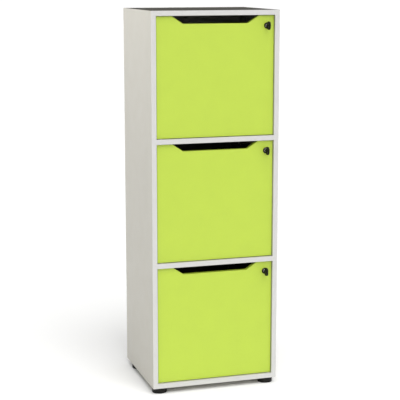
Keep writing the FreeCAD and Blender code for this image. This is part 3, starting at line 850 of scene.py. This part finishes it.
bladeSet = {
    "cuts": (1.1 * mm, 1.5 * mm, 0.5 * mm, 1.3 * mm, 0.8 * mm),      # from the bow to the tip
    "shoulder": 17 * mm, "pitch": 2.6 * mm, "flat": 0.9 * mm,
    "between": 0.2 * mm,                 # how much is cut away between the cuts
    "tip": 2 * mm, "tipCut": 1.4 * mm,
    # a groove along each side: its depth and slope, and where it lies above the middle or below it
    "groove": 0.45 * mm, "grooveSlope": 0.2 * mm,
    "rightGroove": (0.1 * mm, 1.5 * mm), "leftGroove": (-1.5 * mm, -0.2 * mm),
}
bowSet = {
    # share of the outline, share of the half thickness: a rounded rim round a dished middle
    "section": ((1.0, 0.0), (0.992, 0.45), (0.965, 0.80), (0.92, 0.97), (0.87, 1.0), (0.76, 1.0),
                (0.70, 0.93), (0.66, 0.74), (0.60, 0.66), (0.30, 0.66)),
    "squareness": 2.7,
    "steps": 72,
    "ringHole": 2.5 * mm,
    "ringHoleSet": 6 * mm,
    "holeSteps": 32,
}


def makeBlade(bay):
    low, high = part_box(f"{bay}_key_blade")
    middleX = (low.x + high.x) / 2
    middleZ = (low.z + high.z) / 2
    halfX = (high.x - low.x) / 2
    halfZ = (high.z - low.z) / 2
    stations = [(low.y, 0, 0)]
    for index, cut in enumerate(bladeSet["cuts"]):
        centre = low.y + bladeSet["shoulder"] + (index - 0.5) * bladeSet["pitch"]
        stations += [(centre - bladeSet["pitch"] / 2, bladeSet["between"], 0),
                     (centre - bladeSet["flat"] / 2, cut, 0), (centre + bladeSet["flat"] / 2, cut, 0)]
    stations += [(high.y - bladeSet["tip"], bladeSet["between"], 0),
                 (high.y, bladeSet["tipCut"], bladeSet["tipCut"])]
    groove, slope = halfX - bladeSet["groove"], bladeSet["grooveSlope"]
    rightLow, rightHigh = bladeSet["rightGroove"]
    leftLow, leftHigh = bladeSet["leftGroove"]

    def build(shape):
        rings = []
        for y, below, above in stations:
            outline = [(-halfX, below - halfZ), (halfX, below - halfZ),
                       (halfX, rightLow), (groove, rightLow + slope),
                       (groove, rightHigh - slope), (halfX, rightHigh),
                       (halfX, halfZ - above), (-halfX, halfZ - above),
                       (-halfX, leftHigh), (-groove, leftHigh - slope),
                       (-groove, leftLow + slope), (-halfX, leftLow)]
            rings.append([shape.verts.new((middleX + x, y, middleZ + z)) for x, z in outline])
        joinRings(shape, rings)

    standFor(meshPiece(f"{bay}_blade", build), f"{bay}_key_blade", f"{bay}_key", "nickel")


def pillowOutline(halfY, halfZ):
    points = []
    power = 2 / bowSet["squareness"]
    for step in range(bowSet["steps"]):
        angle = 2 * math.pi * step / bowSet["steps"]
        across = math.copysign(abs(math.cos(angle)) ** power, math.cos(angle))
        upward = math.copysign(abs(math.sin(angle)) ** power, math.sin(angle))
        points.append((halfY * across, halfZ * upward))
    return points


def makeBow(bay):
    low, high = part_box(f"{bay}_key_bow")
    half = (high - low) / 2
    outline = pillowOutline(half.y, half.z)

    def build(shape):
        sections = [(share, thick) for share, thick in reversed(bowSet["section"])]
        sections += [(share, -thick) for share, thick in bowSet["section"][1:]]
        joinRings(shape, [[shape.verts.new((thick * half.x, share * y, share * z)) for y, z in outline]
                          for share, thick in sections])

    bow = meshPiece(f"{bay}_bow", build)
    holeProfile = [(bowSet["ringHole"], -2 * half.x), (bowSet["ringHole"], 2 * half.x)]
    hole = turned("ringHole", holeProfile, bowSet["holeSteps"])
    move(hole, pointing(Vector((0, bowSet["ringHoleSet"] - half.y, 0)), (1, 0, 0)))
    carve(bow, hole)
    move(bow, Matrix.Translation((low + high) / 2))
    standFor(bow, f"{bay}_key_bow", f"{bay}_key", "bowPlastic")


for bayName in bays:
    makeBlade(bayName)
    makeBow(bayName)
print("keys made")


# loose bins: a tapered shell with a turned-out rim and a stiffening rib

binSet = {
    "wall": 2.5 * mm, "floor": 3 * mm, "taper": 9 * mm, "corner": 24 * mm, "cornerSteps": 10,
    "rim": 6 * mm, "rimHeight": 8 * mm, "rimRound": 1.2 * mm,
    "ribDrop": 30 * mm, "rib": 0.9 * mm, "ribHalf": 2 * mm,
    "base": (6 * mm, 1.2 * mm), "baseRise": 0.6 * mm, "cove": (2 * mm, 7 * mm), "fillet": 0.4 * mm,
    "smallestCorner": 8 * mm,
}


def roundRectangle(halfX, halfY, radius, steps):
    points = []
    for quarter, (signX, signY) in enumerate(((1, 1), (-1, 1), (-1, -1), (1, -1))):
        for step in range(steps + 1):
            angle = math.radians(90 * quarter + 90 * step / steps)
            points.append((signX * (halfX - radius) + radius * math.cos(angle),
                           signY * (halfY - radius) + radius * math.sin(angle)))
    return points


def makeBin(bay):
    low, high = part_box(f"{bay}_inner_bin")
    half = (high - low) / 2
    height = high.z - low.z
    rim, wall, rounding, floor = (binSet[key] for key in ("rim", "wall", "rimRound", "floor"))

    def inset(level, deeper=0):
        # how far the tapered wall stands inside the rim at a height
        return rim + binSet["taper"] * (1 - level / height) + deeper

    underRim = height - binSet["rimHeight"]
    ribLevel = underRim - binSet["ribDrop"]
    baseEdge, baseRound = binSet["base"]
    coveStart, coveEnd = binSet["cove"]
    ribHalf, rib = binSet["ribHalf"], binSet["rib"]
    sections = [(inset(0, baseEdge), 0), (inset(0, baseRound), binSet["baseRise"]), (inset(floor), floor)]
    for offset, bulge in ((-ribHalf, 0), (-ribHalf / 2, rib), (ribHalf / 2, rib), (ribHalf, 0)):
        sections.append((inset(ribLevel + offset, -bulge), ribLevel + offset))
    sections += [(inset(underRim), underRim + binSet["fillet"]), (rounding, underRim),
                 (0, underRim + rounding), (0, height - 2 * rounding),
                 (0.6 * rounding, height - 0.6 * rounding), (2 * rounding, height),
                 (rim + wall - rounding, height), (rim + wall, height - rounding),
                 (inset(floor + coveEnd, wall), floor + coveEnd),
                 (inset(floor, wall + coveStart), floor + coveStart), (inset(floor, wall + coveEnd), floor)]

    def build(shape):
        rings = []
        for step, level in sections:
            radius = max(binSet["corner"] + rim - step, binSet["smallestCorner"])
            outline = roundRectangle(half.x - step, half.y - step, radius, binSet["cornerSteps"])
            rings.append([shape.verts.new((x, y, level)) for x, y in outline])
        joinRings(shape, rings)

    shell = meshPiece(f"{bay}_bin_shell", build)
    move(shell, Matrix.Translation(((low.x + high.x) / 2, (low.y + high.y) / 2, low.z)))
    standFor(shell, f"{bay}_inner_bin", "cabinet", "binPlastic")


for bayName in bays:
    makeBin(bayName)
print("bins made")
